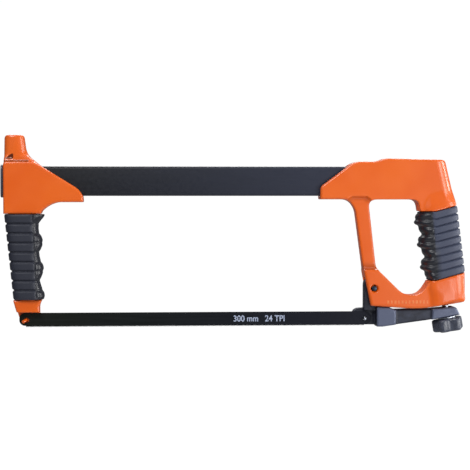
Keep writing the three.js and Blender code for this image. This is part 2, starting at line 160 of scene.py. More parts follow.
def finish(name, **shader_settings):
    """A material with a Principled shader, whose plain settings are given by socket name."""
    material = bpy.data.materials.new(name)
    material.use_nodes = True
    tree = material.node_tree
    shader = tree.nodes["Principled BSDF"]
    for socket, value in shader_settings.items():
        shader.inputs[socket.replace("_", " ")].default_value = value
    place = add(tree, "ShaderNodeTexCoord").outputs["Object"]
    return material, tree, shader, place


def grain(tree, place, size_mm, detail=2.0, stretch=(1, 1, 1)):
    """Noise whose spots are about size_mm across, drawn out along an axis by a small stretch."""
    mapped = add(tree, "ShaderNodeMapping", {"Vector": place, "Scale": stretch})
    per_metre = 1 / (size_mm * MM)
    return add(tree, "ShaderNodeTexNoise", {"Vector": mapped, "Scale": per_metre, "Detail": detail})


def blend(tree, source, low, high, start=0.35, end=0.65):
    """A colour that goes from low to high as the source goes from start to end. Each is a hex code
    or another blend. On the Mix node, 6, 7 and output 2 are the sockets for colours."""
    share = add(tree, "ShaderNodeMapRange", {"Value": source, "From Min": start, "From Max": end})
    ends = [linear(c) if isinstance(c, str) else c for c in (low, high)]
    mixed = add(tree, "ShaderNodeMix", {0: share, 6: ends[0], 7: ends[1]}, data_type="RGBA")
    return mixed.outputs[2]


def tint(tree, shader, *blend_settings):
    """Colours the shader with a blend."""
    tree.links.new(blend(tree, *blend_settings), shader.inputs["Base Color"])


def sheen_range(tree, shader, noise, low, high):
    """Lets the roughness wander from low to high over the middle of a noise."""
    share = add(tree, "ShaderNodeMapRange", {"Value": noise, "From Min": 0.3, "From Max": 0.7,
                                             "To Min": low, "To Max": high})
    tree.links.new(share.outputs[0], shader.inputs["Roughness"])


def relief(tree, shader, source, height_mm):
    """Raises the surface by up to height_mm where the source is high."""
    bump = add(tree, "ShaderNodeBump", {"Height": source, "Distance": height_mm * MM, "Strength": 1.0})
    tree.links.new(bump.outputs[0], shader.inputs["Normal"])


# %% [markdown]
# The two castings are die-cast aluminium under a glossy orange powder coat. The coat flows out to
# a faint orange peel, with swells about 2 mm across, and a thin clear skin gives the pale streaks
# on the rounded edges. A point attribute paints shade into the coat's colour: it darkens the
# horn's pocket, the ledge at the horn's foot and the strut's foot, where shade falls.

# %% Glossy orange powder coat
paint, tree, shader, place = finish("glossy_orange_powder_coat", IOR=1.5, Coat_Weight=0.35,
                                    Coat_Roughness=0.12)
# Painted shade: where the attribute is high, the colour goes to a dark brown, for the shade in the pocket
# and the creases.
painted_shade_share = add(tree, "ShaderNodeAttribute", attribute_name="painted_crease_shade").outputs["Fac"]
open_colour = blend(tree, grain(tree, place, 45), "#E65F10", "#EC6818")
tint(tree, shader, painted_shade_share, open_colour, "#4A1A06", 0, 1)
sheen_range(tree, shader, grain(tree, place, 12), 0.3, 0.38)
relief(tree, shader, grain(tree, place, 2.2), 0.02)
print("made", paint.name)

# %% [markdown]
# The grips are a soft moulded rubber. Its flat side bands are matt and slate blue, while the
# fingers' side is polished nearly black. Along the saw the bands' colour goes paler towards the
# rear grip: painted light, standing in for the light from the right, so the front grip's bands are
# painted darker. The mesh carries an attribute, fingers, that says how far a point is towards the
# fingers' side. The moulded grain is about 0.6 mm.

# %% Moulded grip rubber
rubber, tree, shader, place = finish("moulded_grip_rubber", IOR=1.5)
fingers = add(tree, "ShaderNodeAttribute", attribute_name="fingers").outputs["Fac"]
along = add(tree, "ShaderNodeSeparateXYZ", {0: place}).outputs["X"]
# Painted light: the band colour goes from dark on the front grip to paler on the rear grip.
band = blend(tree, along, "#242734", "#40465A", -0.3, -0.1)
tint(tree, shader, fingers, band, "#1E2028", 0.1, 0.9)
polish = add(tree, "ShaderNodeMapRange", {"Value": fingers, "To Min": 0.5, "To Max": 0.27})
wander = add(tree, "ShaderNodeMath", {0: grain(tree, place, 5), 1: 0.12}, operation="MULTIPLY")
rough = add(tree, "ShaderNodeMath", {0: polish, 1: wander}, operation="ADD")
tree.links.new(rough.outputs[0], shader.inputs["Roughness"])
relief(tree, shader, grain(tree, place, 0.6), 0.03)
print("made", rubber.name)

# %% [markdown]
# The tube is mild steel under a charcoal powder coat, with a fine texture and a faint grain along
# its length from the drawing of the tube. Its colour is painted paler towards the D handle, painted
# light that stands in for the light from the right. The blade is spring steel, blackened by
# hardening, with rolling streaks along it. It goes from a green black to a blue black, as tempering
# colours do. The streaks shift both blends, so that neither has a straight edge.

# %% Powder-coated tube and blackened blade steel
coat, tree, shader, place = finish("charcoal_powder_coat", IOR=1.5, Metallic=0.15)
drawn = grain(tree, place, 1.5, 4, (0.04, 1, 1))
along = add(tree, "ShaderNodeSeparateXYZ", {0: place}).outputs["X"]
# Painted light: the coat goes from near black at the front to a paler blue-grey towards the D handle.
reached = add(tree, "ShaderNodeMath", {0: drawn, 1: 0.06, 2: along}, operation="MULTIPLY_ADD")
tint(tree, shader, reached, "#07090E", "#272C3E", -0.32, -0.05)
sheen_range(tree, shader, grain(tree, place, 3), 0.42, 0.55)
relief(tree, shader, grain(tree, place, 0.8), 0.03)

blued, tree, shader, place = finish("blackened_spring_steel", Metallic=0.55)
along = add(tree, "ShaderNodeSeparateXYZ", {0: place}).outputs["X"]
rolled = grain(tree, place, 0.7, 4, (0.02, 1, 1))
reached = add(tree, "ShaderNodeMath", {0: rolled, 1: 0.1, 2: along}, operation="MULTIPLY_ADD")
tint(tree, shader, reached, "#1B2018", "#141723", -0.33, -0.08)
sheen_range(tree, shader, rolled, 0.32, 0.5)
relief(tree, shader, rolled, 0.01)
print("made", coat.name, "and", blued.name)

# %% [markdown]
# The lever is a grey casting with a thin blue-grey dip coat over a sand-cast grain of about 1 mm.
# Its recessed web between the proud sides is painted darker, as painted shade. The knob and the
# plug are glass-filled nylon, moulded black with a spark-eroded grain.

# %% Dip-coated casting and black nylon
dipped, tree, shader, place = finish("dip_coated_casting", IOR=1.5, Metallic=0.35, Coat_Weight=0.2,
                                     Coat_Roughness=0.2)
across = add(tree, "ShaderNodeSeparateXYZ", {0: place}).outputs["Y"]
outward = add(tree, "ShaderNodeMath", {0: across}, operation="ABSOLUTE")
# Painted shade: the colour is dark on the recessed web near the middle and paler on the proud sides.
painted_web_shade = add(tree, "ShaderNodeMath", {0: grain(tree, place, 6), 1: 1.2 * MM, 2: outward},
           operation="MULTIPLY_ADD")
tint(tree, shader, painted_web_shade, "#262935", "#5A6178", 7.3 * MM, 9.2 * MM)
sheen_range(tree, shader, grain(tree, place, 3), 0.34, 0.48)
relief(tree, shader, grain(tree, place, 1.0, 3), 0.05)

nylon, tree, shader, place = finish("black_moulded_nylon", IOR=1.53)
tint(tree, shader, grain(tree, place, 4), "#3E424E", "#4A4E5C")
sheen_range(tree, shader, grain(tree, place, 1.5), 0.24, 0.34)
relief(tree, shader, grain(tree, place, 0.5), 0.03)
print("made", dipped.name, "and", nylon.name)

# %% [markdown]
# Pins, screws and washer are bright zinc plate, whose small crystals give a slightly uneven sheen.
# The lever's pivot is plain steel, dark with oil. The raised bars are a paler orange powder coat,
# and the blade's marking is a matt pale ink. The floor is painted board. It glows only to the
# camera, so that it stays as clean as the sky and lights nothing.

# %% Zinc plate, oiled steel, pale bar coat, ink and floor
zinc, tree, shader, place = finish("bright_zinc_plate", Metallic=1.0)
tint(tree, shader, grain(tree, place, 1.2), "#AEB4C0", "#C4C8D0")
sheen_range(tree, shader, grain(tree, place, 0.8), 0.24, 0.36)
relief(tree, shader, grain(tree, place, 0.5), 0.01)

oiled, tree, shader, place = finish("oiled_pivot_steel", Metallic=1.0)
tint(tree, shader, grain(tree, place, 1.2), "#38424F", "#4C5868")
sheen_range(tree, shader, grain(tree, place, 0.8), 0.3, 0.4)

# The raised bars' coat is a paler orange than the casting's.
pale_bar_coat, tree, shader, place = finish("pale_orange_powder_coat", IOR=1.5)
tint(tree, shader, grain(tree, place, 2), "#EC7A38", "#EE8A4C")
sheen_range(tree, shader, grain(tree, place, 2), 0.3, 0.4)

ink, tree, shader, place = finish("pale_marking_ink", IOR=1.45)
tint(tree, shader, grain(tree, place, 0.8), "#9FAAC4", "#B4BED4")
sheen_range(tree, shader, grain(tree, place, 0.8), 0.5, 0.6)

studio_floor, tree, shader, place = finish("pale_floor_paint", Roughness=0.8)
shader.inputs["Emission Color"].default_value = linear("#FFFFFF")
tree.links.new(add(tree, "ShaderNodeLightPath").outputs[0], shader.inputs["Emission Strength"])
tint(tree, shader, grain(tree, place, 400), "#F4F4F4", "#F8F8F8")
floor_mesh.materials.append(studio_floor)
print("made", zinc.name, oiled.name, pale_bar_coat.name, ink.name, studio_floor.name)

# %% [markdown]
# ## Helpers for shapes
# A finished piece is a plain mesh in its place, riding on one body of the frame. These few
# functions make a mesh object, settle its modifiers into the mesh, and hand it to the frame.

# %% Making and handing over a piece
SAME_POINT = 0.002 * MM  # corners nearer than this are one
print("corners nearer than", SAME_POINT / MM, "mm are joined")


def mesh_object(name, mesh, material):
    """A new object at the origin that shows one mesh in one material."""
    mesh.materials.clear()
    mesh.materials.append(material)
    made = bpy.data.objects.new(name, mesh)
    bpy.context.scene.collection.objects.link(made)
    return made


def settle(obj):
    """Turns what the modifiers show into the object's own plain mesh."""
    bpy.context.view_layer.update()
    graph = bpy.context.evaluated_depsgraph_get()
    mesh = bpy.data.meshes.new_from_object(obj.evaluated_get(graph), depsgraph=graph)
    obj.modifiers.clear()
    obj.data = mesh
    return obj


def smooth(obj, angle=35):
    """Smooth shading, with edges sharper than the angle kept crisp."""
    obj.data.polygons.foreach_set("use_smooth", [True] * len(obj.data.polygons))
    obj.data.set_sharp_from_angle(angle=math.radians(angle))
    return obj


def hand_over(obj, body, slot, *nodes):
    """Rides the finished piece on its body, in place of the frame's own nodes."""
    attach(obj, body)
    if nodes:
        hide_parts(*nodes)
    print(obj.name, "has", len(obj.data.polygons), "faces and rides on", body)


def merged_copy(node, name, material):
    """A copy of a frame node's mesh, with its loose triangles joined up."""
    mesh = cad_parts[node].data.copy()
    work = bmesh.new()
    work.from_mesh(mesh)
    bmesh.ops.remove_doubles(work, verts=work.verts, dist=SAME_POINT)
    work.to_mesh(mesh)
    work.free()
    return mesh_object(name, mesh, material)


# %% [markdown]
# ## Castings
# A die casting has no sharp edge: metal flows round every corner, and faces meet in small fillets.
# The frame's castings have the right planes and openings but crisp joins. A voxel remesh turns a
# copy into one even skin, and a few rounds of smoothing roll its edges over and fill its corners,
# which would take dozens of separate bevels by hand.

# %% A casting's skin


def cast_skin(node, name, material, voxel_mm, rounds, cutter=None):
    """One smooth skin over a copy of a frame node."""
    obj = merged_copy(node, name, material)
    if cutter:
        cut = obj.modifiers.new("recess", "BOOLEAN")
        cut.object, cut.operation, cut.solver = cutter, "DIFFERENCE", "EXACT"
    skin = obj.modifiers.new("skin", "REMESH")
    skin.mode, skin.voxel_size = "VOXEL", voxel_mm * MM
    soften = obj.modifiers.new("soften", "SMOOTH")
    soften.factor, soften.iterations = 0.5, rounds
    settle(obj)
    obj.data.materials.clear()
    obj.data.materials.append(material)
    obj.data.polygons.foreach_set("use_smooth", [True] * len(obj.data.polygons))
    return obj


def roll_over(obj, section_at):
    """Carries points of a square section towards the round one inside it. section_at gives, for
    an x and a z, the section's middle and half sizes, and how far to carry."""
    for vertex in obj.data.vertices:
        x, y, z = (c / MM for c in vertex.co)
        middle, half_x, half_y, share = section_at(x, z)
        if share > 0:
            u, v = (min(max(c, -1), 1) for c in ((x - middle) / half_x, y / half_y))
            round_u, round_v = u * math.sqrt(1 - v * v / 2), v * math.sqrt(1 - u * u / 2)
            x, y = x + (round_u - u) * half_x * share, y + (round_v - v) * half_y * share
            vertex.co = (x * MM, y * MM, z * MM)


def eased(value, start, end):
    """0 before start, 1 after end, and smooth between."""
    share = min(max((value - start) / (end - start), 0), 1)
    return share * share * (3 - 2 * share)


def read_off(table, z):
    """What a table of three heights says at a height, on straight lines between its rows."""
    (z0, *low_row), (z1, *high_row) = table[:2] if z < table[1][0] else table[1:]
    return [a + (b - a) * (z - z0) / (z1 - z0) for a, b in zip(low_row, high_row)]


def paint_crease_shade(obj, depth_at):
    """Writes the painted shade attribute, from 0 to 1, by which the coat's colour is darkened."""
    kept = obj.data.attributes.new("painted_crease_shade", "FLOAT", "POINT")
    kept.data.foreach_set("value", [depth_at(*(c / MM for c in v.co)) for v in obj.data.vertices])


# %% [markdown]
# The horn on the front casting is where the other hand's thumb rests. It is a post whose square
# section is carried three quarters of the way to a round one, with a small three-sided pocket low
# on its side. The pocket is cut before the skin is made.

# %% Front casting
POCKET_CORNERS = [(-383.4, 76.2), (-376.4, 76.2), (-377.6, 80.4)]
HORN_SIDE, POCKET_DEPTH, BEYOND = -8.2, 1.6, 4
pocket_mesh = bpy.data.meshes.new("pocket")
pocket_mesh.from_pydata(
    [(x * MM, y * MM, z * MM) for y in (HORN_SIDE - BEYOND, HORN_SIDE + POCKET_DEPTH)
     for x, z in POCKET_CORNERS],
    [], [(0, 1, 2), (5, 4, 3), (1, 0, 3, 4), (2, 1, 4, 5), (0, 2, 5, 3)])
pocket = mesh_object("pocket", pocket_mesh, paint)
front_casting = cast_skin("front_handle", "front_casting", paint, 0.65, 6, pocket)
bpy.data.objects.remove(pocket)

HORN = {"half_y": 8.3, "from": 74.5, "full": 82, "share": 0.75}
# Height, and X of the horn's front and back sides there, with half a millimetre to spare.
HORN_SIDES = [(68, -385.2, -349.5), (80, -384.9, -364.1), (97, -384.6, -366.3)]


def horn_section(_x, z):
    """The horn's section at a height, and how round it is."""
    front, back = read_off(HORN_SIDES, z)
    share = HORN["share"] * eased(z, HORN["from"], HORN["full"])
    return (front + back) / 2, (back - front) / 2, HORN["half_y"], share


roll_over(front_casting, horn_section)
# Where painted shade darkens the coat: inside the pocket and along the ledge at the horn's foot.
LEDGE = {"z": 74.2, "core": 0.3, "half": 1.3, "x": -363, "y": 7.6, "dark": 0.7}
INSIDE = {"y": 5, "low": 75.8, "high": 80.6, "foot": 76, "front": -384, "lean": 1.35, "back": -376,
          "dark": 0.85}


def front_painted_shade(x, y, z):
    """Painted shade inside the pocket and along the ledge at the horn's foot."""
    pocket_front = INSIDE["front"] + INSIDE["lean"] * (z - INSIDE["foot"])
    if -y > INSIDE["y"] and INSIDE["low"] < z < INSIDE["high"] and pocket_front < x < INSIDE["back"]:
        return INSIDE["dark"]
    if abs(y) < LEDGE["y"] or x > LEDGE["x"]:
        return 0
    return LEDGE["dark"] * (1 - eased(abs(z - LEDGE["z"]), LEDGE["core"], LEDGE["half"]))


paint_crease_shade(front_casting, front_painted_shade)
hand_over(front_casting, "frame", "orange_paint", "front_handle")

# %% [markdown]
# The back of the D handle fits the palm, so above the grip its two long edges are rolled right
# over. The points within 11 mm of that edge are carried from a square section to a round one.

# %% Rear casting
rear_casting = cast_skin("rear_handle", "rear_casting", paint, 0.75, 6)
PALM_EDGE = [(-60, 25.5), (39, 15.6), (75.7, 6.9)]  # height, and X of the back edge there
ROLL, ROLL_FROM, ROLL_FULL, CAST_HALF = 11, 34, 50, 10.5


def palm_section(x, z):
    """The section within ROLL of the back edge. Points further in stay where they are."""
    middle = read_off(PALM_EDGE, z)[0] - ROLL
    return middle, ROLL, CAST_HALF, eased(z, ROLL_FROM, ROLL_FULL) if x > middle else 0


roll_over(rear_casting, palm_section)
# Where painted shade darkens the coat: the strut's foot, above the clevis.
STRUT_FOOT = {"high": -14, "low": -20.5, "end": -22.5, "x": -50, "y": 9.6, "dark": 0.45}


def rear_painted_shade(x, y, z):
    """Painted shade at the foot of the strut, where it meets the clevis."""
    if x > STRUT_FOOT["x"] or abs(y) > STRUT_FOOT["y"] or z < STRUT_FOOT["end"]:
        return 0
    return STRUT_FOOT["dark"] * (1 - eased(z, STRUT_FOOT["low"], STRUT_FOOT["high"]))


paint_crease_shade(rear_casting, rear_painted_shade)
hand_over(rear_casting, "frame", "orange_paint", "rear_handle")

# %% [markdown]
# ## Geometry Nodes
# What repeats is made by a tree with named inputs for its sizes. The modifier's inputs are set by
# the socket's identifier before anything is evaluated, and the result is settled to a plain mesh.

# %% Starting and running a tree
SOCKETS = {int: "NodeSocketInt", float: "NodeSocketFloat", bpy.types.Object: "NodeSocketObject"}


def new_tree(name, sizes):
    """A tree with a geometry in and out, and a named input of the right kind for each size."""
    made = bpy.data.node_groups.new(name, "GeometryNodeTree")
    for way in ("INPUT", "OUTPUT"):
        made.interface.new_socket("Geometry", in_out=way, socket_type="NodeSocketGeometry")
    for size, kind in sizes.items():
        made.interface.new_socket(size, in_out="INPUT", socket_type=SOCKETS[kind])
    made.interface.new_socket("Material", in_out="INPUT", socket_type="NodeSocketMaterial")
    return made, add(made, "NodeGroupInput").outputs


def end_tree(tree, given, geometry):
    """The last nodes of every tree: real faces, then the material."""
    real = add(tree, "GeometryNodeRealizeInstances", {0: geometry})
    painted = add(tree, "GeometryNodeSetMaterial", {"Geometry": real, "Material": given["Material"]})
    add(tree, "NodeGroupOutput", {0: painted})


def run_tree(obj, tree, **sizes):
    """Runs a tree on an object, with its sizes, and settles the result."""
    modifier = obj.modifiers.new(tree.name, "NODES")
    modifier.node_group = tree
    for item in tree.interface.items_tree:
        if item.in_out == "INPUT" and item.name in sizes:
            modifier[item.identifier] = sizes[item.name]
    settle(obj)


# %% [markdown]
# ## Grips
# Each grip is a sleeve of rubber with an egg-shaped section: flat-sided where the palm is, and
# round, with three swells, where the fingers close. Nine ribs run round it. The smooth sleeve is
# drawn first from rings, and a tree then presses the grooves into it, because the grooves follow
# one rule: they are a pitch apart in height, and on the rear grip they climb towards the palm.

# %% Sizes of the grips, in millimetres
# Where a size changes with height, its lean says by how much for each millimetre up.
REAR = {"name": "rear_sleeve", "node": "rear_grip", "side": -1, "low": -31.4, "high": 29.4, "wall": 4.3,
        "wide": -3, "wide_lean": 0, "half": 13.4, "rise": 0.27, "palm": 20.8, "palm_lean": -0.122,
        "finger": -15.6, "finger_lean": -0.14, "bore": -15.8, "swell": 2.2, "swell_at": 0.5,
        "swell_pitch": 20.2, "flare": 0, "band": -2.2, "band_lean": -0.1, "band_width": 2.6,
        "depth": 1.5, "finger_depth": 1.4, "finger_groove": 0.42, "border": 1.6}
FRONT = {"name": "front_sleeve", "node": "front_grip", "side": 1, "low": -47.5, "high": 27.6, "wall": 4.1,
         "wide": -363, "wide_lean": -0.05, "half": 12.6, "rise": 0.0, "palm": -381.7, "palm_lean": -0.105,
         "finger": -352.6, "finger_lean": -0.03, "bore": -353.4, "swell": 1.7, "swell_at": 3.4,
         "swell_pitch": 23.7, "flare": 2.6, "band": -359.4, "band_lean": -0.045, "band_width": 2.2,
         "depth": 1.4, "finger_depth": 0.55, "finger_groove": 0.3, "border": 1.2}
FLARE_HEIGHT, RIBS, GROOVE = 6.6, 9, 0.19


def leaning(grip, size, z):
    """A size of a grip at a height."""
    return grip[size] + grip[size + "_lean"] * z


def outside(grip, z):
    """A grip's skin at a height: it swells into the gaps between the fingers and flares at the top."""
    swell = grip["swell"] * math.cos(2 * math.pi * (z - grip["swell_at"]) / grip["swell_pitch"])
    flare = grip["flare"] * eased(z, grip["high"] - FLARE_HEIGHT, grip["high"])
    return {"z": z, "wide": leaning(grip, "wide", z), "palm": leaning(grip, "palm", z),
            "finger": leaning(grip, "finger", z) + grip["side"] * (swell + flare), "half": grip["half"],
            "side": grip["side"], "rise": grip["rise"]}


def drawn_in(section, by):
    """The same section with its skin moved in by some millimetres."""
    side = section["side"]
    return {**section, "finger": section["finger"] - by * side, "palm": section["palm"] + by * side,
            "half": section["half"] - by}


def bore(grip, z):
    """The hole, which follows the casting's column inside."""
    straight = grip["bore"] + grip["finger_lean"] * z
    return drawn_in({**outside(grip, z), "finger": straight}, grip["wall"])


print("the ribs are", [round((g["high"] - g["low"]) / RIBS, 2) for g in (REAR, FRONT)], "mm apart")

# %% The smooth sleeve
AROUND, UP, BORE_RINGS, LIP = 112, 180, 8, 1.0
FINGER_POWER, PALM_POWER = 0.85, 0.5  # 1 is an ellipse, and less is squarer


def egg_ring(z, wide, finger, palm, half, side, rise):
    """Points round an egg section, in millimetres. side is the fingers' direction along X."""
    points = []
    for i in range(AROUND):
        angle = 2 * math.pi * i / AROUND
        c, s = math.cos(angle), math.sin(angle)
        on_finger = c * side > 0
        power = FINGER_POWER if on_finger else PALM_POWER
        u = math.copysign(abs((finger if on_finger else palm) - wide) * abs(c) ** power, c)
        lift = 0 if on_finger else abs(u) * rise
        points.append((wide + u, math.copysign(half * abs(s) ** power, s), z + lift))
    return points


def band_faces(rings, around, closed):
    """Faces between each ring of points and the next, and on a closed band from last to first."""
    faces = []
    for k in range(rings if closed else rings - 1):
        a, b = k * around, (k + 1) % rings * around
        faces += [(a + i, a + (i + 1) % around, b + (i + 1) % around, b + i) for i in range(around)]
    return faces


def sleeve(grip):
    """A closed sleeve, with the attributes outer and fingers on its points."""
    low, high, rings, outer = grip["low"], grip["high"], [], []
    for i in range(UP + 1):
        z = low + (high - low) * i / UP
        end = min(z - low, high - z)
        inset = LIP - math.sqrt(max(LIP ** 2 - (LIP - end) ** 2, 0)) if end < LIP else 0
        rings.append(egg_ring(**drawn_in(outside(grip, z), inset)))
        outer.append(eased(end, 0, 2 * LIP))
    for i in range(BORE_RINGS + 1):
        rings.append(egg_ring(**bore(grip, high + (low - high) * i / BORE_RINGS)))
        outer.append(0)
    mesh = bpy.data.meshes.new(grip["name"])
    mesh.from_pydata([tuple(c * MM for c in p) for ring in rings for p in ring], [],
                     band_faces(len(rings), AROUND, closed=True))
    kept = mesh.attributes.new("outer", "FLOAT", "POINT")
    kept.data.foreach_set("value", [value for value in outer for _ in range(AROUND)])
    zone = mesh.attributes.new("fingers", "FLOAT", "POINT")
    zone.data.foreach_set("value", [
        eased((x - leaning(grip, "band", z)) * grip["side"], 0, grip["band_width"])
        for ring in rings for x, y, z in ring])
    return mesh_object(grip["name"], mesh, rubber)


print("a sleeve has", (UP + BORE_RINGS + 2) * AROUND, "points")

# %% The tree that presses the grooves
ribs, given = new_tree("ribs", {"Start": float, "Pitch": float, "Depth": float, "Finger Depth": float,
                                "Groove": float, "Finger Groove": float, "Border": float, "Rise": float,
                                "Widest": float})
where = add(ribs, "ShaderNodeSeparateXYZ", {0: add(ribs, "GeometryNodeInputPosition")}).outputs
past = add(ribs, "ShaderNodeMath", {0: where["X"], 1: given["Widest"]}, operation="SUBTRACT")
palm_side = add(ribs, "ShaderNodeMath", {0: past, 1: 0.0}, operation="MAXIMUM")
climb = add(ribs, "ShaderNodeMath", {0: palm_side, 1: given["Rise"]}, operation="MULTIPLY")
level = add(ribs, "ShaderNodeMath", {0: where["Z"], 1: climb}, operation="SUBTRACT")
above = add(ribs, "ShaderNodeMath", {0: level, 1: given["Start"]}, operation="SUBTRACT")
count = add(ribs, "ShaderNodeMath", {0: above, 1: given["Pitch"]}, operation="DIVIDE")
off_groove = add(ribs, "ShaderNodeMath", {0: count, 1: 0.5}, operation="PINGPONG")
zone = add(ribs, "GeometryNodeInputNamedAttribute", {0: "fingers"}, data_type="FLOAT")
groove = add(ribs, "ShaderNodeMapRange", {"Value": zone, "To Min": given["Groove"],
                                          "To Max": given["Finger Groove"]})
pressed = add(ribs, "ShaderNodeMapRange", {"Value": off_groove, "From Max": groove, "To Min": 1.0,
                                           "To Max": 0.0}, interpolation_type="SMOOTHSTEP")
full = add(ribs, "ShaderNodeMapRange", {"Value": zone, "To Min": given["Depth"],
                                        "To Max": given["Finger Depth"]})
deepest = add(ribs, "ShaderNodeMath", {0: pressed, 1: full}, operation="MULTIPLY")
seam = add(ribs, "ShaderNodeMath", {0: zone, 1: 0.5}, operation="PINGPONG")
border = add(ribs, "ShaderNodeMath", {0: seam, 1: given["Border"]}, operation="MULTIPLY")
depth = add(ribs, "ShaderNodeMath", {0: deepest, 1: border}, operation="MAXIMUM")
on_skin = add(ribs, "GeometryNodeInputNamedAttribute", {0: "outer"}, data_type="FLOAT")
masked = add(ribs, "ShaderNodeMath", {0: depth, 1: on_skin}, operation="MULTIPLY")
inward = add(ribs, "ShaderNodeMath", {0: masked, 1: -1.0}, operation="MULTIPLY")
normal = add(ribs, "GeometryNodeInputNormal")
push = add(ribs, "ShaderNodeVectorMath", {0: normal, "Scale": inward}, operation="SCALE")
grooved = add(ribs, "GeometryNodeSetPosition", {"Geometry": given["Geometry"], "Offset": push})
end_tree(ribs, given, grooved)
print("the ribs tree has", len(ribs.nodes), "nodes")

# %% Both grips
for grip in (REAR, FRONT):
    made = sleeve(grip)
    run_tree(made, ribs, Start=grip["low"] * MM, Pitch=(grip["high"] - grip["low"]) / RIBS * MM,
             Depth=grip["depth"] * MM, Groove=GROOVE, Border=grip["border"] * MM, Rise=grip["rise"],
             Widest=grip["wide"] * MM, Material=rubber,
             **{"Finger Groove": grip["finger_groove"], "Finger Depth": grip["finger_depth"] * MM})
    smooth(made, 50)
    hand_over(made, "frame", "grip_rubber", grip["node"])

# %% [markdown]
# ## Tube and plug
# The tube is welded from strip and drawn to a rounded rectangle, 26 mm high and 12 mm wide. Its
# section is drawn once, outside and inside, and run along the saw.

# %% Frame tube
low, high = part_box("frame_tube")
TUBE_WALL, TUBE_CORNER, TUBE_EDGE, CORNER_STEPS = 1.5 * MM, 2.2 * MM, 0.25 * MM, 6


def tube_ring(x, inset):
    """Points round the tube's section at x, moved in by inset."""
    middle = (low + high) / 2
    half_y, half_z = (high.y - low.y) / 2 - inset, (high.z - low.z) / 2 - inset
    radius = TUBE_CORNER - inset
    points = []
    for turn, (sy, sz) in enumerate(QUARTERS):
        for step in range(CORNER_STEPS + 1):
            angle = math.pi / 2 * (turn + step / CORNER_STEPS)
            points.append((x, middle.y + sy * (half_y - radius) + radius * math.cos(angle),
                           middle.z + sz * (half_z - radius) + radius * math.sin(angle)))
    return points


rings = [tube_ring(x, inset) for x, inset in (
    (low.x, TUBE_EDGE), (low.x + TUBE_EDGE, 0), (high.x - TUBE_EDGE, 0), (high.x, TUBE_EDGE),
    (high.x, TUBE_WALL), (low.x, TUBE_WALL))]
tube_mesh = bpy.data.meshes.new("frame_tube_steel")
tube_mesh.from_pydata([p for ring in rings for p in ring], [],
                      band_faces(len(rings), len(rings[0]), closed=True))
tube = smooth(mesh_object("tube_steel", tube_mesh, coat))
hand_over(tube, "frame", "coated_tube", "frame_tube")

# %% [markdown]
# Small turned and pressed pieces already have the right shape in the frame. A copy gets its flat
# faces joined up and a narrow bevel, because a bright line along an edge is what makes a small
# metal piece look made.

# %% Small pieces with a fine bevel
FLAT_WITHIN, SHARP_OVER = math.radians(1), math.radians(35)


def fine_copy(node, name, body, slot, material, bevel_mm):
    """A bevelled copy of a frame node, in its place."""
    obj = merged_copy(node, name, material)
    work = bmesh.new()
    work.from_mesh(obj.data)
    bmesh.ops.dissolve_limit(work, angle_limit=FLAT_WITHIN, verts=work.verts, edges=work.edges)
    work.to_mesh(obj.data)
    work.free()
    bevel = obj.modifiers.new("edge", "BEVEL")
    bevel.width, bevel.segments = bevel_mm * MM, 2
    bevel.limit_method, bevel.angle_limit = "ANGLE", SHARP_OVER
    smooth(settle(obj))
    hand_over(obj, body, slot, node)


fine_copy("tube_end_plug", "end_cap", "end_plug", "black_plastic", nylon, 0.5)
fine_copy("front_blade_pin", "front_peg", "frame", "orange_paint", paint, 0.3)
fine_copy("rear_blade_pin", "rear_peg", "lever", "zinc_steel", zinc, 0.2)
fine_copy("lever_pivot_pin", "pivot_pin", "frame", "zinc_steel", oiled, 0.3)
fine_copy("pivot_circlip", "circlip", "frame", "zinc_steel", zinc, 0.12)
fine_copy("thrust_washer", "washer", "screw_carriage", "zinc_steel", zinc, 0.2)
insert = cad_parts["threaded_insert"]  # hidden in the casting, so the frame's own mesh will do
insert.data.materials.clear()
insert.data.materials.append(zinc)

# %% [markdown]
# ## Blade
# A 24 teeth to the inch blade is a strip 12.7 mm high and 0.65 mm thick, with a hole at each end.
# Its teeth are 1.06 mm apart and wave-set: the edge swings from side to side every 8 mm, so that
# the cut is wider than the strip. One tooth is drawn, and a tree repeats it along a wave.

# %% Blade strip
PIN = {"front": Vector((-0.3656, 0, -0.0659)), "rear": Vector((-0.0656, 0, -0.0659))}
low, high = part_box("blade")
HOLE, END_ROUND, END_STEPS, HOLE_STEPS = 2.2 * MM, 5 * MM, 8, 32
TOOTH = 1.3 * MM  # the height of the teeth, which the strip leaves out


def strip_outline():
    """The blade's outline above its teeth, as points in X and Z."""
    points = []
    for turn, (sx, sz) in enumerate(QUARTERS):
        cx = (high.x if sx > 0 else low.x) - sx * END_ROUND
        cz = (high.z if sz > 0 else low.z + TOOTH) - sz * END_ROUND
        for step in range(END_STEPS + 1):
            angle = math.pi / 2 * (turn + step / END_STEPS)
            points.append((cx + END_ROUND * math.cos(angle), cz + END_ROUND * math.sin(angle)))
    return points


def hole_outline(pin):
    """A hole's outline round a pin."""
    angles = [2 * math.pi * step / HOLE_STEPS for step in range(HOLE_STEPS)]
    return [(pin.x + HOLE * math.cos(a), pin.z + HOLE * math.sin(a)) for a in angles]


curve = bpy.data.curves.new("blade_strip", "CURVE")
curve.dimensions, curve.fill_mode = "2D", "BOTH"
for points in (strip_outline(), hole_outline(PIN["front"]), hole_outline(PIN["rear"])):
    spline = curve.splines.new("POLY")
    spline.points.add(len(points) - 1)
    spline.use_cyclic_u = True
    for point, (x, z) in zip(spline.points, points):
        point.co = (x, z, 0, 1)
curve.extrude = (high.y - low.y) / 2
flat = bpy.data.objects.new("blade_outline", curve)
bpy.context.scene.collection.objects.link(flat)
bpy.context.view_layer.update()
strip_mesh = bpy.data.meshes.new_from_object(flat)
bpy.data.objects.remove(flat)
strip_mesh.transform(Matrix.Rotation(math.pi / 2, 4, "X"))
print("the strip has", len(strip_mesh.polygons), "faces")

